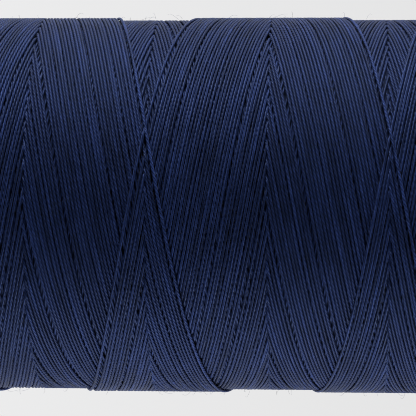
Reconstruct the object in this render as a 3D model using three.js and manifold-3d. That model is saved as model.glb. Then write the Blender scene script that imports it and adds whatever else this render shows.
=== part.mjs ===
// Spool of thread: a moulded core tube, closed at its top by a pressed-in cap and at its bottom by
// a snap base, and wound over its length with one thread. Pulling the spool 3 mm off its base opens
// a slot that traps the thread's end; pushing it back shuts the slot.
//
// Millimetres. The spool stands on its base: +Z runs up its axis, and the origin is the middle of
// the base's underside.

import * as THREE from "three";
import { mergeVertices } from "three/addons/utils/BufferGeometryUtils.js";
import Module from "manifold-3d";

// Driving dimensions
const HEIGHT = 66; // the whole spool, from the base's underside to the cap's rim
const WINDING_RADIUS = 20;
const WINDING_LENGTH = 59.6;
const WINDING_LOW = 4.2; // where the thread starts, above the base's underside
const TUBE_RADIUS = 11;
const TUBE_WALL = 1.6;
const PIN_BORE_RADIUS = 3.8; // takes a sewing machine's spool pin
const BASE_RADIUS = 15.5;
const BASE_THICKNESS = 2.4;
const CAP_RADIUS = 11.6;
const CAP_THICKNESS = 1.4;
const PULL_TRAVEL = 3; // how far the spool lifts off its base to open the thread slot
const LABEL_THICKNESS = 0.2;

// Fits and small features
const GAP = 0.3; // between pieces that touch
const CHAMFER = 0.4;
const HUB_WALL = 1.4;
const SPIGOT_WALL = 1.2;
const BARB_RISE = 0.6; // how far the snap barbs stand out of the spigot
const BARB_HEIGHT = 1.2;
const FINGER_SLOT = 2; // gap between the spigot's snap fingers
const RECESS_DEPTH = 0.5; // of the round recess that holds a label
const LABEL_GAP = 0.05; // between a label and the recess around and under it
const GRIP_COUNT = 30; // finger grips round the base's rim
const GRIP_RADIUS = 1.3;
const GRIP_DEPTH = 0.35;
const NOTCH_WIDTH = 1; // the rim notch that leads the thread's end into the slot
const NOTCH_DEPTH = 2.2;
const SEGMENTS = 48; // round a full turn
const CORNER_STEPS = 3; // in a rounded corner

const tubeInner = TUBE_RADIUS - TUBE_WALL;
const tubeLow = BASE_THICKNESS + GAP;
const tubeHigh = HEIGHT - CAP_THICKNESS - GAP;
const spigotRadius = tubeInner - GAP;
const grooveRadius = spigotRadius + BARB_RISE + GAP;
const hubRadius = PIN_BORE_RADIUS + HUB_WALL;

const base = { radius: BASE_RADIUS, thickness: BASE_THICKNESS, recess: 11.2, spigot: 14.6, hub: 20 };
const cap = { radius: CAP_RADIUS, thickness: CAP_THICKNESS, recess: 9.9, spigot: 11.4, hub: 17 };

const wasm = await Module();
wasm.setup();

const point = (radius, height) => new THREE.Vector2(radius, height);

// A quarter circle in an outline, from one direction to the other (in quarter turns), about a centre.
function corner(radius, height, size, fromQuarter) {
  return Array.from({ length: CORNER_STEPS + 1 }, (_, i) => {
    const angle = (fromQuarter + i / CORNER_STEPS) * (Math.PI / 2);
    return point(radius + size * Math.cos(angle), height + size * Math.sin(angle));
  });
}

// Turns a closed outline, anticlockwise in radius and height, about the spool's axis.
function turned(outline) {
  return new THREE.LatheGeometry([...outline, outline[0].clone()], SEGMENTS).rotateX(Math.PI / 2);
}

function solidOf(geometry) {
  const bare = geometry.clone();
  bare.deleteAttribute("normal");
  bare.deleteAttribute("uv");
  const merged = mergeVertices(bare.index ? bare : mergeVertices(bare));
  const mesh = new wasm.Mesh({
    numProp: 3,
    vertProperties: new Float32Array(merged.attributes.position.array),
    triVerts: new Uint32Array(merged.index.array),
  });
  return new wasm.Manifold(mesh);
}

function geometryOf(solid) {
  const mesh = solid.getMesh();
  const geometry = new THREE.BufferGeometry();
  geometry.setAttribute("position", new THREE.BufferAttribute(mesh.vertProperties, mesh.numProp));
  geometry.setIndex(new THREE.BufferAttribute(mesh.triVerts, 1));
  return geometry;
}

function block(width, depth, low, high, x, turn) {
  const geometry = new THREE.BoxGeometry(width, depth, high - low);
  geometry.translate(x, 0, (low + high) / 2);
  return solidOf(geometry.rotateZ(turn));
}

// The flange with its label recess, and the hub that guides the spool pin.
function flangeOutline(end) {
  const round = CHAMFER;
  return [
    ...corner(end.radius - round, round, round, -1),
    ...corner(end.radius - round, end.thickness - round, round, 0),
    point(hubRadius, end.thickness),
    point(hubRadius, end.hub - CHAMFER),
    point(hubRadius - CHAMFER, end.hub),
    point(PIN_BORE_RADIUS + CHAMFER, end.hub),
    point(PIN_BORE_RADIUS, end.hub - CHAMFER),
    point(PIN_BORE_RADIUS, RECESS_DEPTH + CHAMFER),
    point(PIN_BORE_RADIUS + CHAMFER, RECESS_DEPTH),
    point(end.recess, RECESS_DEPTH),
    point(end.recess, 0),
  ];
}

// The ring of snap fingers: it starts inside the flange, so that the two join.
function spigotOutline(end) {
  const inner = spigotRadius - SPIGOT_WALL;
  const barbLow = end.spigot - CHAMFER - BARB_HEIGHT;
  return [
    point(spigotRadius, end.thickness - CHAMFER),
    point(spigotRadius, barbLow),
    point(spigotRadius + BARB_RISE, barbLow + CHAMFER),
    point(spigotRadius + BARB_RISE, barbLow + CHAMFER * 2),
    point(spigotRadius - CHAMFER, end.spigot),
    point(inner, end.spigot),
    point(inner, end.thickness - CHAMFER),
  ];
}

function spigot(end) {
  const fingers = solidOf(turned(spigotOutline(end)));
  const slotLow = end.thickness + 1;
  const across = spigotRadius * 3;
  const slots = [0, Math.PI / 2].map((turn) => block(across, FINGER_SLOT, slotLow, end.spigot + 1, 0, turn));
  return slots.reduce((solid, slot) => solid.subtract(slot), fingers);
}

// An end piece, with its outer face at height 0 and its spigot and hub pointing up.
function endPiece(end) {
  return solidOf(turned(flangeOutline(end))).add(spigot(end));
}

function grip(index) {
  const angle = ((index + 0.5) / GRIP_COUNT) * 2 * Math.PI;
  const reach = BASE_RADIUS + GRIP_RADIUS - GRIP_DEPTH;
  const geometry = new THREE.CylinderGeometry(GRIP_RADIUS, GRIP_RADIUS, BASE_THICKNESS * 3, 10);
  geometry.rotateX(Math.PI / 2);
  geometry.translate(reach * Math.cos(angle), reach * Math.sin(angle), 0);
  return solidOf(geometry);
}

function snapBase() {
  let solid = endPiece(base);
  for (let i = 0; i < GRIP_COUNT; i += 1) {
    solid = solid.subtract(grip(i));
  }
  const notch = block(NOTCH_DEPTH * 2, NOTCH_WIDTH, -1, BASE_THICKNESS + 1, BASE_RADIUS, 0);
  return geometryOf(solid.subtract(notch));
}

function topCap() {
  return geometryOf(endPiece(cap));
}

// A groove in the tube's bore for the barbs of an end piece, as two heights: low and high.
function grooveOutline(low, high) {
  return [
    point(tubeInner, high + CHAMFER),
    point(grooveRadius, high),
    point(grooveRadius, low),
    point(tubeInner, low - CHAMFER),
  ];
}

function coreTube() {
  const barbSpan = BARB_HEIGHT + CHAMFER;
  const baseGroove = grooveOutline(base.spigot - barbSpan - PULL_TRAVEL - GAP, base.spigot + GAP);
  const capEnd = HEIGHT - cap.spigot;
  const capGroove = grooveOutline(capEnd - GAP, capEnd + barbSpan + GAP);
  return turned([
    point(TUBE_RADIUS - CHAMFER, tubeLow),
    point(TUBE_RADIUS, tubeLow + CHAMFER),
    point(TUBE_RADIUS, tubeHigh - CHAMFER),
    point(TUBE_RADIUS - CHAMFER, tubeHigh),
    point(tubeInner + CHAMFER, tubeHigh),
    point(tubeInner, tubeHigh - CHAMFER),
    ...capGroove,
    ...baseGroove,
    point(tubeInner, tubeLow + CHAMFER),
    point(tubeInner + CHAMFER, tubeLow),
  ]);
}

// The wound thread as one sleeve, with the round shoulders that the turning thread leaves.
function threadWinding() {
  const shoulder = 1.1;
  const inner = TUBE_RADIUS + GAP;
  const high = WINDING_LOW + WINDING_LENGTH;
  return turned([
    point(inner, WINDING_LOW),
    ...corner(WINDING_RADIUS - shoulder, WINDING_LOW + shoulder, shoulder, -1),
    ...corner(WINDING_RADIUS - shoulder, high - shoulder, shoulder, 0),
    point(inner, high),
  ]);
}

// A round paper label with a hole for the pin, lying in the recess of an end piece.
function label(end) {
  const low = RECESS_DEPTH - LABEL_GAP - LABEL_THICKNESS;
  const inner = PIN_BORE_RADIUS + CHAMFER * 2;
  const outer = end.recess - LABEL_GAP * 4;
  const high = low + LABEL_THICKNESS;
  return turned([point(outer, low), point(outer, high), point(inner, high), point(inner, low)]);
}

const plastic = { color: 0xe4e1d8, roughness: 0.45, metalness: 0 };
const paper = { color: 0xd9dbe2, roughness: 0.8, metalness: 0 };
const thread = { color: 0x18224a, roughness: 0.7, metalness: 0 };

function piece(name, geometry, finish) {
  const mesh = new THREE.Mesh(geometry, new THREE.MeshStandardMaterial(finish));
  mesh.name = name;
  return mesh;
}

// Everything at the top end is made outer face down, and turned over onto the tube.
function topEnd() {
  const group = new THREE.Group();
  group.add(piece("top_cap", topCap(), plastic));
  group.add(piece("top_label", label(cap), paper));
  group.rotation.x = Math.PI;
  group.position.z = HEIGHT;
  return group;
}

const spool = new THREE.Group();
spool.add(piece("snap_base", snapBase(), plastic));
spool.add(piece("base_label", label(base), paper));
spool.add(piece("core_tube", coreTube(), plastic));
spool.add(piece("thread_winding", threadWinding(), thread));
spool.add(topEnd());

export default spool;
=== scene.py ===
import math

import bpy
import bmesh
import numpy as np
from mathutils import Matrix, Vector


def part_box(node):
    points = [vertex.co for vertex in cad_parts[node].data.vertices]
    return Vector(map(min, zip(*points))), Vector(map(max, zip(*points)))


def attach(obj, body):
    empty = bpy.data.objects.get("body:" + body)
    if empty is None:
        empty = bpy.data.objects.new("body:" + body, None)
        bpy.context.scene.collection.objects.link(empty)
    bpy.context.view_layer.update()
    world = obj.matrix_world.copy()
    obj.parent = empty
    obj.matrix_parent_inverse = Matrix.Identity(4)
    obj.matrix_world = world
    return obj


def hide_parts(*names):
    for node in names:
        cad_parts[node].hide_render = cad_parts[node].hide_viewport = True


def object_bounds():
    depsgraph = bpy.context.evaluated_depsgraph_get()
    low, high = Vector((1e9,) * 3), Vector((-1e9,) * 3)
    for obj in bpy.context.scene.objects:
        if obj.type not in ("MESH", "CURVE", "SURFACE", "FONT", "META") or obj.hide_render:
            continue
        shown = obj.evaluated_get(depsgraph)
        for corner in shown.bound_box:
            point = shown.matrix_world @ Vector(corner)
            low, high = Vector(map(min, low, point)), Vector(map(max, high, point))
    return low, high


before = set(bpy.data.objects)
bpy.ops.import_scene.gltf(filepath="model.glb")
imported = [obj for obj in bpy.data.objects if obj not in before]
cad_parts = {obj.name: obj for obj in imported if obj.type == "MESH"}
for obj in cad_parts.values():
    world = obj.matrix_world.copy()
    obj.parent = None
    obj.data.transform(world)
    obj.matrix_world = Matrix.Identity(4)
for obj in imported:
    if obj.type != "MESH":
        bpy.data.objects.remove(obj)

# A spool of cross-wound thread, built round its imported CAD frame. Metres; +Z runs up the spool's axis.
#
# The winding is one thread, laid in strokes that sink and climb along the core while it turns. Each
# stroke makes a little less than two and a half turns, so the strokes creep round the core and cover
# it. A stroke's age says how long ago it was laid: 0 is the newest, and 1 is the one that the next
# stroke covers. Places on the winding are given as the winder lays it: by the angle that the core has
# turned through, from the side facing -Y, and by the depth below the winding's top.

cad_low, cad_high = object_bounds()
rng = np.random.default_rng(2024)
MM = 0.001
TURN = 2 * math.pi

# ---------------------------------------------------------------- sizes of the thread and the winding

# The thread: three plies, with an S twist
THREAD_RADIUS = 0.153 * MM
PLIES = 3
PLY_LAY = 1.56 * MM  # length in which the plies turn once round the thread
LAY_SPREAD = 0.03  # of the lay from thread to thread, as a share of it
FLANK_ANGLE, FLANK_RADIUS = math.radians(36), 0.95  # of a point on a ply's side, over the thread's radius
GROOVE_RADIUS = 0.76  # of the groove between two plies
SLUBS, SLUB_RINGS = 0.04, 15  # spread of the thickness, and how many rings apart it changes
WOBBLE, WOBBLE_MARKS = 0.026 * MM, 20  # spread of the sideways wander, and how often a stroke changes it

# The winding
STARTS = 66  # strokes side by side in each direction
STROKE_TURNS = 2.5
CROSSING_TURNS = 1.0  # from the top end to the crossing that faces the camera
CROSSING_ANGLE = math.radians(-20.4)
SIDE_BY_SIDE = 0.328 * MM  # from the middle of one stroke to the next, where their fuzz touches
ROOM_WEIGHT = 0.3  # the room left over is shared out by weight; this is a stroke's on average
GAP_CHANCE, GAP_WEIGHT = 0.13, (2, 6)  # chance of a dark gap beside a stroke, and the weight that adds
LAYER_STEP = 0.26 * MM  # height that one layer of thread adds
TURN_ROUNDING = 0.2 * MM  # how far a turn at the end stops short of its sharp corner
SETTLED = 0.8 * MM  # from a turn to where the thread lies wholly over or under its neighbour
CROSSED_OVER = 0.45  # strokes over which a thread climbs from under its neighbour to over it
FINE_STEP, COARSE_STEP = 0.2 * MM, 2.0 * MM  # rings along a stretch in sight, and along a covered one
COVERED_BY = 1.6  # strokes that must lie over a thread to hide it
END_IN_SIGHT = 4 * MM  # of each stroke, next to its turns

# The newest strokes, which cross over all the others
SINKING_LAG, CLIMBING_LAG = -0.35, 0.25  # of the newest stroke from the crossing angle, in strokes
SINKING_GAP, CLIMBING_GAP = 0.4, 0.1  # between the newest stroke and the next, in strokes
SINKING_AGE, CLIMBING_AGE = 0.25 / STARTS, 0.75 / STARTS
SLIPPED = 0.75  # how far the newest climbing stroke has slipped aside near the top, in strokes
SLIP_FROM_BOTTOM = 12 * MM, 42 * MM  # where the slip starts, and where it is whole
SLIP_FROM_TOP = 0, 6 * MM
LAST_LIFT = 0.05 * MM  # how far the last stroke of all rides above its neighbours
LAST_LIFT_REACH = 8 * MM  # from its ends to where it is lifted so far

# How pale a thread is, from 0 to 1: at random up to the palest, and the newest stroke palest of all as
# painted light, for the light it catches riding above its neighbours
PALEST_THREAD = 0.56
LAST_STROKE_PAINTED_LIGHT = 1.0

# Positions from the CAD frame
winding_low, winding_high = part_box("thread_winding")
core_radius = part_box("core_tube")[1].x
outer_radius = winding_high.x
winding_length = winding_high.z - winding_low.z
straight_length = winding_length - 2 * THREAD_RADIUS + 2 * TURN_ROUNDING
lead = straight_length / (STROKE_TURNS - 0.5 / STARTS)
corner_depth = (winding_length - STROKE_TURNS * lead) / 2  # where the strokes' straight runs would meet
crossing_depth = corner_depth + CROSSING_TURNS * lead
radians_per_metre = TURN / lead


def smoothstep(x, low, high):
    t = np.clip((x - low) / (high - low), 0, 1)
    return t * t * (3 - 2 * t)


def points_at(angle, depth, radius):
    """Points on the winding, from where the winder lays them."""
    return np.stack([-radius * np.sin(angle), -radius * np.cos(angle), winding_high.z - depth], axis=1)


def link_object(name, mesh):
    thing = bpy.data.objects.new(name, mesh)
    bpy.context.scene.collection.objects.link(thing)
    return thing


# ---------------------------------------------------------------- threads as meshes

NOISE_REACH = 5  # metres; each thread starts at a random place along the material's noise


def ply_section():
    """Angle and radius of the points round a thread: three over each ply, then the groove beside it."""
    angles = []
    radii = []
    for ply in range(PLIES):
        middle = ply * TURN / PLIES
        angles += [middle - FLANK_ANGLE, middle, middle + FLANK_ANGLE, middle + TURN / PLIES / 2]
        radii += [FLANK_RADIUS, 1, FLANK_RADIUS, GROOVE_RADIUS]
    return np.array(angles), np.array(radii)


SECTION_ANGLES, SECTION_RADII = ply_section()
SECTION_POINTS = len(SECTION_ANGLES)
POINTS_PER_PLY = SECTION_POINTS // PLIES


def directions(centre):
    """Unit vectors at each point of a thread's centre, square to it: away from the axis, and sideways."""
    tangent = np.gradient(centre, axis=0)
    tangent /= np.linalg.norm(tangent, axis=1)[:, None]
    outward = centre * (1, 1, 0)
    outward -= (outward * tangent).sum(1)[:, None] * tangent
    outward /= np.linalg.norm(outward, axis=1)[:, None]
    return outward, np.cross(tangent, outward)


def ring_quads(rings, points):
    """Corners of the faces between each ring of points and the next, by number."""
    column = np.arange(points)
    following = (column + 1) % points
    first = np.arange(rings - 1)[:, None] * points
    after = first + points
    return np.stack([first + column, first + following, after + following, after + column], axis=-1)


class ThreadMesh:
    """Gathers lengths of twisted thread into one mesh."""

    def __init__(self):
        self.points = []
        self.section_co = []
        self.strand = []
        self.rings = []

    def add(self, centre, twisting=True, thickness=1.0, strand=None):
        """Adds a thread along centre, an array of points. Its plies turn only where twisting holds.

        strand is how pale the thread is. Without it, that is random."""
        outward, side = directions(centre)
        step = np.linalg.norm(np.diff(centre, axis=0), axis=1)
        length = np.concatenate([[0], np.cumsum(step)])
        twisting = np.broadcast_to(twisting, len(centre))
        twisted = np.concatenate([[0], np.cumsum(step * twisting[1:])])
        lay = PLY_LAY * rng.normal(1, LAY_SPREAD)
        twist = rng.uniform(0, TURN) - twisted / lay * TURN
        angle = twist[:, None] + SECTION_ANGLES[None, :]
        radius = THREAD_RADIUS * SECTION_RADII * np.broadcast_to(thickness, len(centre))[:, None]
        x = radius * np.cos(angle)
        y = radius * np.sin(angle)
        ring = centre[:, None, :] + x[..., None] * outward[:, None, :] + y[..., None] * side[:, None, :]
        along = np.broadcast_to(length[:, None], x.shape) + rng.uniform(0, NOISE_REACH)
        paleness = rng.uniform(0, PALEST_THREAD)
        self.points.append(ring.reshape(-1, 3))
        self.section_co.append(np.stack([x, y, along], axis=-1).reshape(-1, 3))
        self.strand.append(np.full(x.size, paleness if strand is None else strand))
        self.rings.append(len(centre))

    def faces(self):
        """Corner vertices of every face, one after another, and each face's corner count."""
        column = np.arange(SECTION_POINTS)
        corners = []
        sizes = []
        offset = 0
        for rings in self.rings:
            quads = offset + ring_quads(rings, SECTION_POINTS)
            last = offset + (rings - 1) * SECTION_POINTS
            corners += [quads.reshape(-1), offset + column[::-1], last + column]
            sizes += [np.full((rings - 1) * SECTION_POINTS, 4), [SECTION_POINTS, SECTION_POINTS]]
            offset += rings * SECTION_POINTS
        return np.concatenate(corners), np.concatenate(sizes)

    def build(self, name):
        points = np.concatenate(self.points)
        corners, sizes = self.faces()
        mesh = bpy.data.meshes.new(name)
        mesh.vertices.add(len(points))
        mesh.vertices.foreach_set("co", points.astype(np.float32).reshape(-1))
        mesh.loops.add(len(corners))
        mesh.loops.foreach_set("vertex_index", corners.astype(np.int32))
        mesh.polygons.add(len(sizes))
        mesh.polygons.foreach_set("loop_start", (np.cumsum(sizes) - sizes).astype(np.int32))
        mesh.update(calc_edges=True)
        self.mark_grooves(mesh)
        self.store_coordinates(mesh)
        return link_object(name, mesh)

    def mark_grooves(self, mesh):
        """Keeps the grooves between plies sharp, so that each ply is shaded as a round strand."""
        ends = np.empty(len(mesh.edges) * 2, np.int32)
        mesh.edges.foreach_get("vertices", ends)
        ends = ends.reshape(-1, 2)
        groove = (ends % SECTION_POINTS) % POINTS_PER_PLY == POINTS_PER_PLY - 1
        lengthways = np.abs(ends[:, 0] - ends[:, 1]) == SECTION_POINTS
        sharp = mesh.attributes.new("sharp_edge", "BOOLEAN", "EDGE")
        sharp.data.foreach_set("value", groove.all(axis=1) & lengthways)

    def store_coordinates(self, mesh):
        """Gives each vertex its place in the thread's section and along it, and its thread's paleness."""
        coordinates = np.concatenate(self.section_co).astype(np.float32)
        section_co = mesh.attributes.new("section_co", "FLOAT_VECTOR", "POINT")
        section_co.data.foreach_set("vector", coordinates.reshape(-1))
        strand = mesh.attributes.new("strand", "FLOAT", "POINT")
        strand.data.foreach_set("value", np.concatenate(self.strand).astype(np.float32))


# ---------------------------------------------------------------- the outermost strokes

STROKE_PIECES = 14  # for the strokes of each direction


def spaced_strokes(lag, first_gap):
    """Angle of each stroke in one direction at the crossing's depth, the newest first.

    Most strokes touch their neighbours, and what room is left over opens as a few dark gaps."""
    touching = SIDE_BY_SIDE / lead
    weight = rng.exponential(ROOM_WEIGHT, STARTS)
    weight += rng.uniform(*GAP_WEIGHT, STARTS) * (rng.random(STARTS) < GAP_CHANCE)
    weight[0] = 0
    room = 1 - touching * STARTS - first_gap / STARTS
    gaps = touching + room * weight / weight.sum()
    gaps[0] += first_gap / STARTS
    turns = np.concatenate([[0], np.cumsum(gaps)[:-1]]) + lag / STARTS
    return CROSSING_ANGLE + turns * TURN


sinking_angles = spaced_strokes(SINKING_LAG, SINKING_GAP)
climbing_angles = spaced_strokes(CLIMBING_LAG, CLIMBING_GAP)


def age_here(angle, depth, sinking):
    """Age of the sinking or climbing strokes that cover a point of the surface."""
    along = (depth - crossing_depth) / lead
    newest = sinking_angles[0] if sinking else climbing_angles[0]
    turns = (angle - newest) / TURN + (-along if sinking else along)
    return np.mod(turns + 0.5 / STARTS, 1) - 0.5 / STARTS + (SINKING_AGE if sinking else CLIMBING_AGE)


def layered_radius(own_age, other_age, from_turn):
    """Distance from the axis to a thread's middle, as it passes over older strokes or under newer ones."""
    under = smoothstep((own_age - other_age) * STARTS, -CROSSED_OVER, CROSSED_OVER)
    settled = smoothstep(from_turn, 0, SETTLED)
    under = 0.5 + (under - 0.5) * settled
    return outer_radius - THREAD_RADIUS - LAYER_STEP * (own_age + other_age + under)


def meeting(sinking_angle, climbing_angle, end_turns):
    """Depth at which a sinking and a climbing stroke turn into each other, near one end of the winding."""
    turns = end_turns + (climbing_angle - sinking_angle) / TURN / 2
    return crossing_depth + turns * lead


def angle_of(angles, index):
    """The angle of a stroke, or of the one that would come before the first."""
    if index < 0:
        return angles[0] - TURN / STARTS
    return angles[index]


def stroke_ends(sinking, index):
    """A stroke's own angle, and the depths of its turns at the top and at the bottom."""
    below_turns = STROKE_TURNS - CROSSING_TURNS
    top = meeting(sinking_angles[index], climbing_angles[index], -CROSSING_TURNS)
    if sinking:
        own = sinking_angles[index]
        return own, top, meeting(own, angle_of(climbing_angles, index - 1), below_turns)
    own = climbing_angles[index]
    return own, top, meeting(sinking_angles[min(index + 1, STARTS - 1)], own, below_turns)


def stroke_path(sinking, index):
    """Angle and depth of points along one stroke, from its top end to its bottom end."""
    own, top, bottom = stroke_ends(sinking, index)
    slope = radians_per_metre if sinking else -radians_per_metre
    top_angle = own + (top - crossing_depth) * slope
    bottom_angle = own + (bottom - crossing_depth) * slope
    count = int((bottom - top) * radians_per_metre * outer_radius / FINE_STEP)
    angle = np.linspace(top_angle, bottom_angle, count)
    from_top = np.abs(angle - top_angle) / radians_per_metre
    from_bottom = np.abs(bottom_angle - angle) / radians_per_metre
    upper = top + np.hypot(from_top, TURN_ROUNDING)
    lower = bottom - np.hypot(from_bottom, TURN_ROUNDING)
    depth = np.where(from_top < from_bottom, upper, lower) + wobble(count)
    if index == 0 and not sinking:
        slip = smoothstep(from_bottom, *SLIP_FROM_BOTTOM) * smoothstep(from_top, *SLIP_FROM_TOP)
        depth -= SLIPPED / STARTS * lead * slip
    return angle, depth


def wobble(count):
    """A slow, slight sideways wander along a thread."""
    marks = rng.normal(0, WOBBLE, WOBBLE_MARKS)
    reach = count // WOBBLE_MARKS
    wander = np.interp(np.linspace(0, 1, count + 2 * reach), np.linspace(0, 1, len(marks)), marks)
    kernel = np.hanning(2 * reach + 1)
    return np.convolve(wander, kernel / kernel.sum(), mode="valid")


def slubs(count):
    """Slight changes in a thread's thickness."""
    marks = rng.normal(1, SLUBS, count // SLUB_RINGS)
    return np.interp(np.linspace(0, 1, count), np.linspace(0, 1, len(marks)), marks)


def add_stroke(mesh, sinking, index):
    angles = sinking_angles if sinking else climbing_angles
    own = (angles[index] - angles[0]) / TURN + (SINKING_AGE if sinking else CLIMBING_AGE)
    angle, depth = stroke_path(sinking, index)
    other = age_here(angle, depth, not sinking)
    rings = np.arange(len(angle))
    from_end = np.minimum(rings, rings[::-1]) * FINE_STEP
    radius = layered_radius(own, other, from_end)
    last = sinking and index == 0
    if last:
        radius += LAST_LIFT * smoothstep(from_end, 0, LAST_LIFT_REACH)
    in_sight = ((own - other) * STARTS < COVERED_BY) | (from_end < END_IN_SIGHT)
    kept = in_sight.copy()
    kept[:: int(COARSE_STEP / FINE_STEP)] = True
    kept[-1] = True
    centre = points_at(angle, depth, radius)
    thickness = slubs(len(angle))
    # the newest stroke gets its painted-light paleness here; the others are pale at random
    mesh.add(centre[kept], in_sight[kept], thickness[kept], LAST_STROKE_PAINTED_LIGHT if last else None)


def make_strokes(sinking, name):
    made = []
    for number, members in enumerate(np.array_split(np.arange(STARTS), STROKE_PIECES)):
        mesh = ThreadMesh()
        for index in members:
            add_stroke(mesh, sinking, index)
        made.append(mesh.build(f"{name}_{number + 1}"))
    return made


# ---------------------------------------------------------------- the turns on the end faces

TURN_PIECES = 3  # for each end face
ARC_HALF_LENGTH = 3.2 * MM
ARC_STEP = 0.32 * MM
ARC_SPREAD = 0.2  # of a turn's place round the face, in strokes
END_RAGGED = 0.1 * MM  # how unevenly the turns lie on the end faces
ARC_RAGGED = 0.03 * MM  # how unevenly they lie in their layers


def add_turn(mesh, at_top, age, angle):
    """Adds the stretch of thread that turns back at one end of the winding, deep in its older layers."""
    reach = np.arange(-ARC_HALF_LENGTH, ARC_HALF_LENGTH + ARC_STEP / 2, ARC_STEP)
    middle = outer_radius - THREAD_RADIUS - LAYER_STEP * (2 * age + 0.5)
    around = reach / middle
    inward = np.hypot(around / radians_per_metre, TURN_ROUNDING) + abs(rng.normal(0, END_RAGGED))
    inward += corner_depth + (CLIMBING_AGE - SINKING_AGE) * lead / 2
    depth = inward if at_top else winding_length - inward
    radius = layered_radius(age, age + 2 * around / TURN, np.abs(reach)) + rng.normal(0, ARC_RAGGED)
    mesh.add(points_at(angle + around, depth, radius))


def make_turns(at_top, name):
    """The older turns that show on one end face, all the way in to the core."""
    made = []
    cycles = int((outer_radius - core_radius - 2 * THREAD_RADIUS) / (2 * LAYER_STEP))
    end_turns = -CROSSING_TURNS if at_top else STROKE_TURNS - CROSSING_TURNS
    first = sinking_angles[0] + end_turns * TURN
    for number, members in enumerate(np.array_split(np.arange(1, cycles), TURN_PIECES)):
        mesh = ThreadMesh()
        for cycle in members:
            for index in range(STARTS):
                turns = (index + rng.normal(0, ARC_SPREAD)) / STARTS
                add_turn(mesh, at_top, cycle + turns, first + turns * TURN)
        made.append(mesh.build(f"{name}_{number + 1}"))
    return made


# ---------------------------------------------------------------- the thread's loose end

LOOSE_RINGS = 140
LOOSE_ANGLE = 2.0  # radians that it runs on round the spool
LOOSE_TUCK = 0.9 * MM  # how far its tip goes in under the tube's wall
LOOSE_DROP = 1.15 * THREAD_RADIUS  # of its middle below the bottom face
PINCH = 0.2  # how much thinner it is in the slot

# Where each of its bends starts and ends, as shares of its length
BEND_INWARD = 0.02, 0.93
BEND_UNDER_FACE = 0, 0.12
BEND_DOWN_TO_SLOT = 0.45, 0.9
PINCHED = 0.85, 0.92


def make_loose_end():
    """The newest stroke's end: in across the bottom face, and into the slot above the base's flange."""
    angle, depth = stroke_path(True, 0)
    t = np.linspace(0, 1, LOOSE_RINGS)
    slot_height = (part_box("snap_base")[0].z + FLANGE_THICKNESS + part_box("core_tube")[0].z) / 2
    radius = outer_radius - THREAD_RADIUS - LAYER_STEP * 0.5
    radius += (core_radius - LOOSE_TUCK - radius) * smoothstep(t, *BEND_INWARD)
    across = winding_length + LOOSE_DROP
    level = depth[-1] + (across - depth[-1]) * smoothstep(t, *BEND_UNDER_FACE)
    level += (winding_high.z - slot_height - across) * smoothstep(t, *BEND_DOWN_TO_SLOT)
    thickness = 1 - PINCH * smoothstep(t, *PINCHED)
    mesh = ThreadMesh()
    mesh.add(points_at(angle[-1] + t * LOOSE_ANGLE, level, radius), True, thickness)
    return mesh.build("loose_end")


# ---------------------------------------------------------------- the fibres that stand off the thread

FIBRES = 600
FIBRE_RADIUS = 0.012 * MM
FIBRE_POINT = 0.35  # of a fibre's tip, over its radius
FIBRE_ROOT = 0.3 * MM  # how deep in the thread a fibre starts
FIBRE_RINGS = 6
FIBRE_SIDES = 3
FIBRE_SPAN = 0.02, 0.98  # the stretch of the winding that has fibres, as shares of its length
FIBRE_HEADING = 0.5  # radians, the spread of their direction from straight round the spool
FIBRE_LENGTH = 3, 0.5  # shape and scale of their random lengths, in millimetres
SHORTEST_FIBRE, LONGEST_FIBRE = 0.5, 4
FIBRE_HEIGHT = 1.5, 0.1  # shape and scale of how far they stand off, in millimetres
FIBRE_CURL = 0.2  # spread of their sideways bend, over their length
FIBRE_ARCH = 2.2  # radians of arch from the root to the tip


def fibre_paths():
    """Points along the middle of each fibre, and the outward and sideways directions of its section."""
    angle = rng.uniform(0, TURN, FIBRES)
    depth = rng.uniform(*FIBRE_SPAN, FIBRES) * winding_length
    root = points_at(angle, depth, np.full(FIBRES, outer_radius - FIBRE_ROOT))
    outward = np.stack([-np.sin(angle), -np.cos(angle), np.zeros(FIBRES)], axis=1)
    axis = np.broadcast_to((0.0, 0.0, 1.0), outward.shape)
    around = np.cross(axis, outward) * rng.choice((-1.0, 1.0), FIBRES)[:, None]
    heading = rng.normal(0, FIBRE_HEADING, FIBRES)[:, None]
    forward = around * np.cos(heading) + axis * np.sin(heading)
    across = np.cross(outward, forward)
    length = np.clip(rng.gamma(*FIBRE_LENGTH, FIBRES), SHORTEST_FIBRE, LONGEST_FIBRE) * MM
    height = FIBRE_ROOT + rng.gamma(*FIBRE_HEIGHT, FIBRES) * MM
    curl = rng.normal(0, FIBRE_CURL, FIBRES) * length
    t = np.linspace(0, 1, FIBRE_RINGS)[None, :, None]
    centre = root[:, None] + forward[:, None] * length[:, None, None] * t
    centre = centre + across[:, None] * curl[:, None, None] * t * t
    centre = centre + outward[:, None] * height[:, None, None] * np.sin(t * FIBRE_ARCH)
    return centre, outward, across


def fibre_points(centre, outward, across):
    """Rings of points round each fibre, which narrows towards its tip."""
    turns = np.arange(FIBRE_SIDES) / FIBRE_SIDES * TURN
    thickness = FIBRE_RADIUS * np.linspace(1, FIBRE_POINT, FIBRE_RINGS)[None, :, None, None]
    section = outward[:, None, None] * np.cos(turns)[None, None, :, None]
    section = section + across[:, None, None] * np.sin(turns)[None, None, :, None]
    return (centre[:, :, None] + section * thickness).reshape(-1, 3)


def fibre_faces():
    """The sides of every fibre, and then the two ends of every fibre."""
    column = np.arange(FIBRE_SIDES)
    first = np.arange(FIBRES)[:, None] * FIBRE_RINGS * FIBRE_SIDES
    last = first + (FIBRE_RINGS - 1) * FIBRE_SIDES
    one = ring_quads(FIBRE_RINGS, FIBRE_SIDES).reshape(-1, 4)
    sides = (first[:, None] + one).reshape(-1, 4)
    return sides.tolist() + (first + column[::-1]).tolist() + (last + column).tolist()


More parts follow.
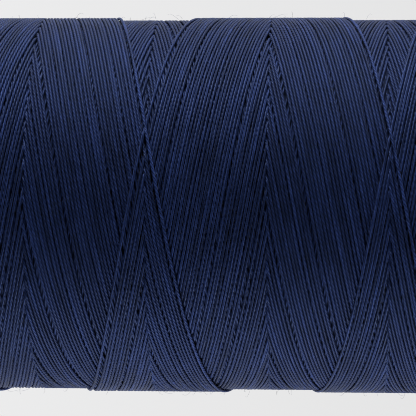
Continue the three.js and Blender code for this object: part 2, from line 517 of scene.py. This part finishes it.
def make_fibres():
    """Short fibres with one end held in the thread and the other drawn out to a point just above it."""
    mesh = bpy.data.meshes.new("loose_fibres")
    mesh.from_pydata(fibre_points(*fibre_paths()).tolist(), [], fibre_faces())
    mesh.update()
    return link_object("loose_fibres", mesh)


# ---------------------------------------------------------------- turned and moulded pieces

FLANGE_THICKNESS = 2.4 * MM
CAP_THICKNESS = 1.4 * MM
BASE_RECESS, CAP_RECESS = 11.2 * MM, 9.9 * MM  # radius of the round recess for a label
BASE_SPIGOT, CAP_SPIGOT = 14.6 * MM, 11.4 * MM  # height of the snap fingers, from the outer face
BASE_HUB, CAP_HUB = 20 * MM, 17 * MM  # height of the hub round the pin bore
PIN_BORE_RADIUS = 3.8 * MM
HUB_RADIUS = 5.2 * MM
SPIGOT_RADIUS = 9.1 * MM
SPIGOT_WALL = 1.2 * MM
BARB_RISE = 0.6 * MM
BARB_HEIGHT = 1.2 * MM
FINGER_SLOT = 2.0 * MM
FINGERS = 4
SLOT_ABOVE_FLANGE = 1.0 * MM
RECESS_DEPTH = 0.5 * MM
LABEL_THICKNESS = 0.2 * MM
LABEL_GAP = 0.05 * MM  # between a label and the recess under it
LABEL_EDGE = 0.05 * MM
TUBE_WALL = 1.6 * MM
EDGE = 0.4 * MM  # radius of the plastic's rounded edges
INNER_LAYERS_DEPTH = 3.1 * LAYER_STEP  # of their outside below the winding's
INNER_LAYERS_GAP = 0.15 * MM  # between them and the core tube
INNER_LAYERS_INSET = 0.75 * MM  # from the winding's end faces
GRIPS = 30
GRIP_RADIUS, GRIP_DEPTH = 1.3 * MM, 0.35 * MM
GRIP_COLUMNS = 12  # of points across each finger grip
NOTCH_WIDTH, NOTCH_DEPTH = 1.0 * MM, 2.2 * MM
NOTCH_SIDE = 1e-4  # radians over which the notch's side walls stand
NOTCH_ANGLE = TURN / 4
FACETS = 180
SHARP_ANGLE = math.radians(35)
SAME_POINT = 0.001 * MM
FINE_STEPS = 3  # in a small rounded edge


def rounded(radius, height, size, from_quarter, steps=5):
    """A quarter circle in an outline, anticlockwise, from one direction counted in quarter turns."""
    angles = (from_quarter + np.linspace(0, 1, steps + 1)) * math.pi / 2
    return [(radius + size * math.cos(a), height + size * math.sin(a)) for a in angles]


def outline_columns(shape, outline, angles, trim):
    """Adds a column of the outline's points at each angle, with its rim pulled in by trim(angle)."""
    rim = max(radius for radius, _ in outline)
    columns = []
    for angle in angles:
        limit = rim - (trim(angle) if trim else 0)
        column = []
        for radius, height in outline:
            reach = min(radius, limit - min(rim - radius, EDGE))
            column.append(shape.verts.new((reach * math.sin(angle), -reach * math.cos(angle), height)))
        columns.append(column)
    return columns


def revolve(name, outline, angles=None, whole=True, trim=None):
    """Turns a closed outline of (radius, height) about the axis, all the way round or over some angles."""
    if angles is None:
        angles = np.arange(FACETS) / FACETS * TURN
    shape = bmesh.new()
    columns = outline_columns(shape, outline, angles, trim)
    count = len(outline)
    following = columns[1:] + columns[:1] if whole else columns[1:]
    for left, right in zip(columns, following):
        for i in range(count):
            shape.faces.new((left[i], right[i], right[(i + 1) % count], left[(i + 1) % count]))
    if not whole:
        shape.faces.new(columns[0])
        shape.faces.new(columns[-1][::-1])
    bmesh.ops.remove_doubles(shape, verts=shape.verts, dist=SAME_POINT)
    bmesh.ops.recalc_face_normals(shape, faces=shape.faces)
    return finished_mesh(name, shape)


def finished_mesh(name, shape):
    mesh = bpy.data.meshes.new(name)
    shape.to_mesh(mesh)
    shape.free()
    mesh.set_sharp_from_angle(angle=SHARP_ANGLE)
    return link_object(name, mesh)


def join(name, pieces):
    """Makes one piece of several that touch."""
    joined = bmesh.new()
    for piece in pieces:
        joined.from_mesh(piece.data)
        bpy.data.meshes.remove(piece.data)
    return finished_mesh(name, joined)


def end_outline(radius, thickness, recess, hub):
    """The flange with its label recess, and the hub that guides the spool pin, outer face down."""
    soft = EDGE / 2
    bore_mouth = [
        (PIN_BORE_RADIUS + EDGE - x, RECESS_DEPTH + EDGE - y)
        for x, y in rounded(0, 0, EDGE, 0, FINE_STEPS)
    ]
    return [
        *rounded(radius - EDGE, EDGE, EDGE, -1),
        *rounded(radius - EDGE, thickness - EDGE, EDGE, 0),
        (radius * 0.75, thickness),
        (HUB_RADIUS, thickness),
        *rounded(HUB_RADIUS - soft, hub - soft, soft, 0, FINE_STEPS),
        *rounded(PIN_BORE_RADIUS + soft, hub - soft, soft, 1, FINE_STEPS),
        *bore_mouth[::-1],
        (recess - soft, RECESS_DEPTH),
        (recess, RECESS_DEPTH - LABEL_GAP),
        *rounded(recess + soft, soft, soft, 2, FINE_STEPS),
    ]


def finger_outline(thickness, spigot):
    inner = SPIGOT_RADIUS - SPIGOT_WALL
    barb_low = spigot - EDGE - BARB_HEIGHT
    barb = SPIGOT_RADIUS + BARB_RISE
    low = thickness + SLOT_ABOVE_FLANGE
    return [
        (SPIGOT_RADIUS, low - EDGE),
        (SPIGOT_RADIUS, barb_low),
        (barb, barb_low + EDGE),
        (barb, barb_low + EDGE * 2),
        (SPIGOT_RADIUS - EDGE, spigot),
        (inner, spigot),
        (inner, low - EDGE),
    ]


def make_end(name, radius, thickness, recess, spigot, hub, trim=None, angles=None):
    """An end piece, outer face down, its spigot and hub pointing up."""
    inner = SPIGOT_RADIUS - SPIGOT_WALL
    foot = [
        (SPIGOT_RADIUS, thickness - EDGE),
        (SPIGOT_RADIUS, thickness + SLOT_ABOVE_FLANGE),
        (inner, thickness + SLOT_ABOVE_FLANGE),
        (inner, thickness - EDGE),
    ]
    pieces = [
        revolve("flange", end_outline(radius, thickness, recess, hub), angles, trim=trim),
        revolve("spigot_foot", foot),
    ]
    reach = TURN / FINGERS / 2 - FINGER_SLOT / 2 / SPIGOT_RADIUS
    for finger in range(FINGERS):
        middle = (finger + 0.5) * TURN / FINGERS
        arc = np.linspace(middle - reach, middle + reach, FACETS // FINGERS)
        pieces.append(revolve("finger", finger_outline(thickness, spigot), arc, whole=False))
    return join(name, pieces)


def rim_trim(radius):
    """How far the grips and the thread notch cut into the base's rim, as a function of angle."""
    reach = radius + GRIP_RADIUS - GRIP_DEPTH

    def trim(angle):
        offset = ((angle / TURN * GRIPS) % 1 - 0.5) / GRIPS * TURN
        across = reach * math.sin(offset)
        cut = 0
        if abs(across) < GRIP_RADIUS:
            cut = radius - (reach * math.cos(offset) - math.sqrt(GRIP_RADIUS**2 - across**2))
        sideways = radius * math.sin(angle - NOTCH_ANGLE)
        if abs(sideways) < NOTCH_WIDTH / 2 and math.cos(angle - NOTCH_ANGLE) > 0:
            cut = NOTCH_DEPTH
        return max(cut, 0)

    return trim


def rim_angles(radius):
    """Angles of the columns of points round the base: across every grip, and at the notch's sides."""
    marks = []
    for grip in range(GRIPS):
        middle = (grip + 0.5) / GRIPS * TURN
        marks += list(middle + np.linspace(-0.5, 0.5, GRIP_COLUMNS + 1) / GRIPS * TURN)[:-1]
    half_notch = math.asin(NOTCH_WIDTH / 2 / radius)
    for side in (-1, 1):
        edge = NOTCH_ANGLE + side * half_notch
        marks += [edge - NOTCH_SIDE, edge + NOTCH_SIDE]
    return np.array(sorted(marks))


def turn_over(thing, top):
    """Turns a piece made outer face down over onto the top of the spool."""
    flip = Matrix.Translation((0, 0, top)) @ Matrix.Rotation(math.pi, 4, "X")
    thing.data.transform(flip)
    return thing


def sleeve_outline(inner, outer, low, high, soft, steps):
    """A tube's wall or a washer's section, with its four corners rounded."""
    return [
        *rounded(outer - soft, low + soft, soft, -1, steps),
        *rounded(outer - soft, high - soft, soft, 0, steps),
        *rounded(inner + soft, high - soft, soft, 1, steps),
        *rounded(inner + soft, low + soft, soft, 2, steps),
    ]


def make_label(name, outer):
    """A round paper label, outer face down, with its cut edges a little soft."""
    inner = PIN_BORE_RADIUS + 2 * EDGE
    high = RECESS_DEPTH - LABEL_GAP
    return revolve(name, sleeve_outline(inner, outer, high - LABEL_THICKNESS, high, LABEL_EDGE, FINE_STEPS))


def make_core_tube():
    low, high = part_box("core_tube")
    return revolve("tube", sleeve_outline(core_radius - TUBE_WALL, core_radius, low.z, high.z, EDGE, 5))


def make_inner_layers():
    """The older layers under the outermost strokes, as one sleeve that shows only through the gaps."""
    outer = outer_radius - INNER_LAYERS_DEPTH
    inner = core_radius + INNER_LAYERS_GAP
    low = winding_low.z + INNER_LAYERS_INSET
    high = winding_high.z - INNER_LAYERS_INSET
    return revolve("inner_layers", [(inner, low), (outer, low), (outer, high), (inner, high)])


# ---------------------------------------------------------------- materials

# The stops of a colour ramp: a noise's value, and the colour there
NAVY = (
    (0.36, (0.0045, 0.0100, 0.0430)),
    (0.50, (0.0120, 0.0248, 0.0940)),
    (0.64, (0.0290, 0.0510, 0.1750)),
)
NAVY_FIBRES = ((0.35, (0.016, 0.028, 0.090)), (0.65, (0.050, 0.075, 0.200)))
# painted shade: the older layers' navy, darkened for the shade deep between strokes
NAVY_BENEATH_PAINTED_SHADE = ((0.35, (0.003, 0.006, 0.018)), (0.65, (0.009, 0.014, 0.042)))
PLASTIC = ((0.3, (0.63, 0.61, 0.555)), (0.7, (0.69, 0.675, 0.625)))

PAPER = (0.80, 0.79, 0.74)
INK = (0.022, 0.035, 0.105)
PRINTED = ((0.0, PAPER), (0.56, INK), (0.585, PAPER), (0.64, INK), (0.93, PAPER))  # by share of the radius

USUAL_NOISE = 0.3, 0.7  # the range that a noise's values mostly fall in
GRAIN_DEPTH = 0.03 * MM  # of the bumps of plastic and paper
THREAD_BUMP = 0.02 * MM
BENEATH_BUMP = 0.1 * MM


class Nodes:
    """A node tree, whose nodes have their inputs set or wired by name."""

    def __init__(self, tree):
        self.tree = tree

    def add(self, kind, settings=None, **inputs):
        node = self.tree.nodes.new("ShaderNode" + kind)
        for key, value in (settings or {}).items():
            setattr(node, key, value)
        for key, value in inputs.items():
            self.set(node.inputs[key.replace("_", " ")], value)
        return node

    def set(self, socket, value):
        if isinstance(value, bpy.types.NodeSocket):
            self.tree.links.new(value, socket)
        else:
            socket.default_value = value

    def math(self, operation, first, second=0.0):
        node = self.add("Math", {"operation": operation})
        self.set(node.inputs[0], first)
        self.set(node.inputs[1], second)
        return node.outputs[0]

    def remap(self, value, low, high, to_low, to_high):
        inputs = {"From Min": low, "From Max": high, "To Min": to_low, "To Max": to_high}
        return self.add("MapRange", Value=value, **inputs).outputs["Result"]

    def spread(self, noise, low, high):
        """Turns a noise's usual values into the range from low to high."""
        return self.remap(noise, *USUAL_NOISE, low, high)

    def noise(self, vector, scale, detail=2.0):
        return self.add("TexNoise", Vector=vector, Scale=scale, Detail=detail).outputs["Fac"]

    def ramp(self, value, stops, interpolation="LINEAR"):
        node = self.add("ValToRGB", Fac=value)
        node.color_ramp.interpolation = interpolation
        elements = node.color_ramp.elements
        while len(elements) < len(stops):
            elements.new(0.5)
        for element, (position, colour) in zip(elements, stops):
            element.position = position
            element.color = (*colour, 1)
        return node.outputs["Color"]

    def scaled(self, vector, scale):
        node = self.add("VectorMath", {"operation": "MULTIPLY"})
        self.set(node.inputs[0], vector)
        node.inputs[1].default_value = scale
        return node.outputs[0]

    def length(self, vector):
        node = self.add("VectorMath", {"operation": "LENGTH"})
        self.set(node.inputs[0], vector)
        return node.outputs["Value"]

    def tinted(self, colour, amount):
        """Multiplies a colour by an amount."""
        node = self.add("VectorMath", {"operation": "SCALE"})
        self.set(node.inputs[0], colour)
        self.set(node.inputs["Scale"], amount)
        return node.outputs[0]

    def position(self):
        return self.add("TexCoord").outputs["Object"]

    def attribute(self, name, output):
        return self.add("Attribute", {"attribute_name": name}).outputs[output]

    def bump(self, height, strength, distance):
        return self.add("Bump", Height=height, Strength=strength, Distance=distance).outputs["Normal"]

    def mix_shaders(self, share, first, second):
        node = self.add("MixShader", Fac=share)
        self.set(node.inputs[1], first)
        self.set(node.inputs[2], second)
        return node.outputs[0]


class Material(Nodes):
    """A material's node tree, with its shader's fixed values set."""

    def __init__(self, name, **fixed):
        self.material = bpy.data.materials.new(name)
        self.material.use_nodes = True
        super().__init__(self.material.node_tree)
        self.shader = self.tree.nodes["Principled BSDF"]
        self.shade(**fixed)

    def shade(self, **inputs):
        for key, value in inputs.items():
            self.set(self.shader.inputs[key.replace("_", " ")], value)


def thread_material():
    """Navy cotton: fine fibres along the thread, painted shade in the grooves between plies with a painted
    highlight on their crowns, and some threads paler than others: at random, and the newest stroke palest
    as painted light.
    """
    nodes = Material(
        "navy_thread",
        Specular_IOR_Level=0.4,
        Specular_Tint=(0.26, 0.42, 1.0, 1),
        Sheen_Weight=0.05,
        Sheen_Roughness=0.4,
        Sheen_Tint=(0.75, 0.8, 0.95, 1),
    )
    section = nodes.attribute("section_co", "Vector")
    strand = nodes.attribute("strand", "Fac")
    fibres = nodes.noise(nodes.scaled(section, (14000, 14000, 900)), 1.0, 3.0)
    patches = nodes.noise(nodes.scaled(section, (900, 900, 2200)), 1.0)
    cloudy = nodes.noise(nodes.position(), 90.0)
    shade = nodes.math("ADD", nodes.math("MULTIPLY", fibres, 0.65), nodes.math("MULTIPLY", patches, 0.35))
    # paleness is random tone, and painted light on the newest stroke
    paleness = nodes.remap(strand, 0, 1, 0.75, 1.6)
    strength = nodes.math("ADD", paleness, nodes.spread(cloudy, -0.08, 0.08))
    # painted shade: the colour is darkened towards the grooves between plies and lightened on the plies'
    # crowns, as painted highlight
    from_middle = nodes.length(nodes.scaled(section, (1 / THREAD_RADIUS, 1 / THREAD_RADIUS, 0)))
    grooves = nodes.remap(from_middle, GROOVE_RADIUS, 1.0, 0.15, 1.25)
    strength = nodes.math("MULTIPLY", strength, grooves)
    nodes.shade(
        Base_Color=nodes.tinted(nodes.ramp(shade, NAVY), strength),
        Roughness=nodes.spread(fibres, 0.42, 0.62),
        Normal=nodes.bump(fibres, 0.5, THREAD_BUMP),
    )
    return nodes.material


def fibre_material():
    """The loose fibres: the same navy, paler where a fibre is seen on its own."""
    nodes = Material("navy_fibres", Specular_IOR_Level=0.4, Specular_Tint=(0.5, 0.6, 1.0, 1))
    cloudy = nodes.noise(nodes.position(), 400.0)
    nodes.shade(Base_Color=nodes.ramp(cloudy, NAVY_FIBRES), Roughness=nodes.spread(cloudy, 0.45, 0.65))
    return nodes.material


def under_thread_material():
    """The older layers deep between strokes: the navy darkened with painted shade, in fine lines round the
    core.
    """
    nodes = Material("navy_thread_beneath_painted_shade", Specular_IOR_Level=0.15, Specular_Tint=(0.3, 0.45, 1.0, 1))
    lines = nodes.noise(nodes.scaled(nodes.position(), (300, 300, 9000)), 1.0)
    nodes.shade(
        Base_Color=nodes.ramp(lines, NAVY_BENEATH_PAINTED_SHADE),
        Roughness=nodes.spread(lines, 0.7, 0.9),
        Normal=nodes.bump(lines, 0.6, BENEATH_BUMP),
    )
    return nodes.material


def plastic_material():
    """Moulded polypropylene: a fine matt grain, with faint flow marks and specks."""
    nodes = Material("core_plastic", Specular_IOR_Level=0.5, IOR=1.49)
    position = nodes.position()
    grain = nodes.noise(position, 6000.0, 3.0)
    flow = nodes.noise(nodes.scaled(position, (60, 60, 160)), 1.0, 3.0)
    specks = nodes.noise(position, 2500.0, 1.0)
    nodes.shade(
        Base_Color=nodes.tinted(nodes.ramp(flow, PLASTIC), nodes.spread(specks, 0.96, 1.03)),
        Roughness=nodes.math("ADD", nodes.spread(flow, 0.3, 0.42), nodes.spread(grain, 0, 0.1)),
        Normal=nodes.bump(grain, 0.25, GRAIN_DEPTH),
    )
    return nodes.material


def label_material(name, outer):
    """Uncoated paper, printed with a plain navy band and a thin ring, a little uneven at their edges."""
    nodes = Material(name, Specular_IOR_Level=0.3, Sheen_Weight=0.1)
    position = nodes.position()
    fibres = nodes.noise(position, 4500.0, 4.0)
    bleed = nodes.spread(fibres, -0.006, 0.006)
    from_axis = nodes.length(nodes.scaled(position, (1, 1, 0)))
    ratio = nodes.math("ADD", nodes.math("MULTIPLY", from_axis, 1 / outer), bleed)
    mottle = nodes.spread(nodes.noise(position, 1200.0, 3.0), 0.9, 1.06)
    nodes.shade(
        Base_Color=nodes.tinted(nodes.ramp(ratio, PRINTED, "CONSTANT"), mottle),
        Roughness=nodes.spread(fibres, 0.65, 0.85),
        Normal=nodes.bump(fibres, 0.3, GRAIN_DEPTH),
    )
    return nodes.material


# ---------------------------------------------------------------- the spool's pieces


def finish_piece(thing, body, material, node):
    thing.data.materials.clear()
    thing.data.materials.append(material)
    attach(thing, body)
    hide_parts(node)


def make_winding():
    pieces = make_strokes(True, "sinking_strokes")
    pieces += make_strokes(False, "climbing_strokes")
    pieces += make_turns(True, "top_turns")
    pieces += make_turns(False, "bottom_turns")
    pieces.append(make_loose_end())
    material = thread_material()
    for piece in pieces:
        finish_piece(piece, "spool", material, "thread_winding")
    finish_piece(make_fibres(), "spool", fibre_material(), "thread_winding")
    finish_piece(make_inner_layers(), "spool", under_thread_material(), "thread_winding")


def make_plastics():
    base_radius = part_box("snap_base")[1].x
    cap_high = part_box("top_cap")[1]
    plastic = plastic_material()
    base_sizes = (base_radius, FLANGE_THICKNESS, BASE_RECESS, BASE_SPIGOT, BASE_HUB)
    cap_sizes = (cap_high.x, CAP_THICKNESS, CAP_RECESS, CAP_SPIGOT, CAP_HUB)
    snap_base = make_end("base_flange", *base_sizes, rim_trim(base_radius), rim_angles(base_radius))
    finish_piece(snap_base, "base", plastic, "snap_base")
    cap = turn_over(make_end("cap", *cap_sizes), cap_high.z)
    finish_piece(cap, "spool", plastic, "top_cap")
    finish_piece(make_core_tube(), "spool", plastic, "core_tube")


def make_labels():
    base_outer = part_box("base_label")[1].x
    top_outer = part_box("top_label")[1].x
    base_label = make_label("base_paper", base_outer)
    finish_piece(base_label, "base", label_material("base_paper", base_outer), "base_label")
    top_label = turn_over(make_label("top_paper", top_outer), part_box("top_cap")[1].z)
    finish_piece(top_label, "spool", label_material("top_paper", top_outer), "top_label")


# ---------------------------------------------------------------- camera, lights and surroundings

CAMERA_DISTANCE = 240 * MM
CAMERA_DROP = 12.15 * MM  # of the camera below the middle of the view
CAMERA_SIDE = -0.35 * MM
VIEW_BELOW_CROSSING = 6.3 * MM
FRAME_WIDTH = 36.0  # mm, of the camera's sensor
LENS = 195.5  # mm
CAMERA_ROLL = math.radians(0.16)
CLIP_START = 0.01
PIXEL_FILTER = 1.0  # pixels; the photograph is as sharp

LEFT_POWER, RIGHT_POWER = 2.0, 2.5
BOX_ANGLE = math.radians(82)  # from the camera's side of the spool to each softbox
BOX_DISTANCE = 0.5
BOX_RISE = 0.02
BOX_SIZE = 0.16, 0.1

BACKDROP = (0.81, 0.81, 0.815)
SURROUND_LIGHT = (0.9, 0.93, 1.0)
DARKER_IN_FRONT = -0.2, 0.9, 0.17, 1.0  # a direction's Y, from and to, and the light's strength there
PALER_ABOVE = -0.04, 0.15, 0.965, 1.03  # a direction's Z, from and to, and the backdrop's strength there

FLOOR_RADIUS = 0.3
FLOOR_SIDES = 96
FLOOR_FADE = 0.06, 0.2  # how far from the axis the floor starts to fade, and is gone
FLOOR_COLOUR = (0.8, 0.8, 0.8, 1)


def make_camera():
    """Looks at the winding's side, with the spool lying across the picture and its base to the right."""
    middle = winding_high.z - crossing_depth - VIEW_BELOW_CROSSING
    data = bpy.data.cameras.new("camera")
    data.sensor_width = FRAME_WIDTH
    data.lens = LENS
    data.clip_start = CLIP_START
    camera = link_object("camera", data)
    stand = Vector((CAMERA_SIDE, -CAMERA_DISTANCE, middle - CAMERA_DROP))
    target = Vector((CAMERA_SIDE, -outer_radius, middle))
    back = (stand - target).normalized()
    picture_up = Vector((1, 0, 0))
    right = picture_up.cross(back).normalized()
    turned = Matrix((right, back.cross(right), back)).transposed().to_4x4()
    camera.matrix_world = Matrix.Translation(stand) @ turned @ Matrix.Rotation(CAMERA_ROLL, 4, "Z")
    bpy.context.scene.camera = camera


def make_softbox(name, stand, target, power):
    light = bpy.data.lights.new(name, "AREA")
    light.shape = "RECTANGLE"
    light.size, light.size_y = BOX_SIZE
    light.energy = power
    softbox = link_object(name, light)
    softbox.location = stand
    softbox.rotation_euler = (target - stand).to_track_quat("-Z", "Y").to_euler()
    softbox.visible_camera = False


def make_lights():
    middle = Vector((0, 0, (winding_low.z + winding_high.z) / 2))
    for side, power, name in ((-1, LEFT_POWER, "softbox_left"), (1, RIGHT_POWER, "softbox_right")):
        sideways = side * BOX_DISTANCE * math.sin(BOX_ANGLE)
        stand = middle + Vector((sideways, -BOX_DISTANCE * math.cos(BOX_ANGLE), BOX_RISE))
        make_softbox(name, stand, middle, power)


def make_world():
    """A pale surround: what the camera sees is even, and what lights the spool is darker in front of it."""
    world = bpy.data.worlds.new("surround")
    bpy.context.scene.world = world
    world.use_nodes = True
    nodes = Nodes(world.node_tree)
    direction = nodes.add("SeparateXYZ", Vector=nodes.add("TexCoord").outputs["Generated"])
    light = nodes.remap(direction.outputs["Y"], *DARKER_IN_FRONT)
    backdrop = nodes.remap(direction.outputs["Z"], *PALER_ABOVE)
    unseen = nodes.add("Background", Color=(*SURROUND_LIGHT, 1), Strength=light).outputs[0]
    seen = nodes.add("Background", Color=(*BACKDROP, 1), Strength=backdrop).outputs[0]
    is_seen = nodes.add("LightPath").outputs["Is Camera Ray"]
    surface = world.node_tree.nodes["World Output"].inputs["Surface"]
    nodes.set(surface, nodes.mix_shaders(is_seen, unseen, seen))


def make_floor():
    """A pale floor that fades into the surround away from the spool."""
    shape = bmesh.new()
    bmesh.ops.create_circle(shape, cap_ends=True, segments=FLOOR_SIDES, radius=FLOOR_RADIUS)
    mesh = bpy.data.meshes.new("floor")
    shape.to_mesh(mesh)
    shape.free()
    floor = link_object("floor", mesh)
    floor.location.z = cad_low.z
    nodes = Material("floor", Base_Color=FLOOR_COLOUR, Roughness=0.8, Specular_IOR_Level=0.1)
    fade = nodes.remap(nodes.length(nodes.position()), *FLOOR_FADE, 0, 1)
    clear = nodes.add("BsdfTransparent").outputs[0]
    surface = nodes.tree.nodes["Material Output"].inputs["Surface"]
    nodes.set(surface, nodes.mix_shaders(fade, nodes.shader.outputs[0], clear))
    floor.data.materials.append(nodes.material)


make_camera()
make_winding()
make_plastics()
make_labels()
make_lights()
make_world()
make_floor()
bpy.context.scene.view_settings.view_transform = "Standard"
bpy.context.scene.cycles.filter_width = PIXEL_FILTER
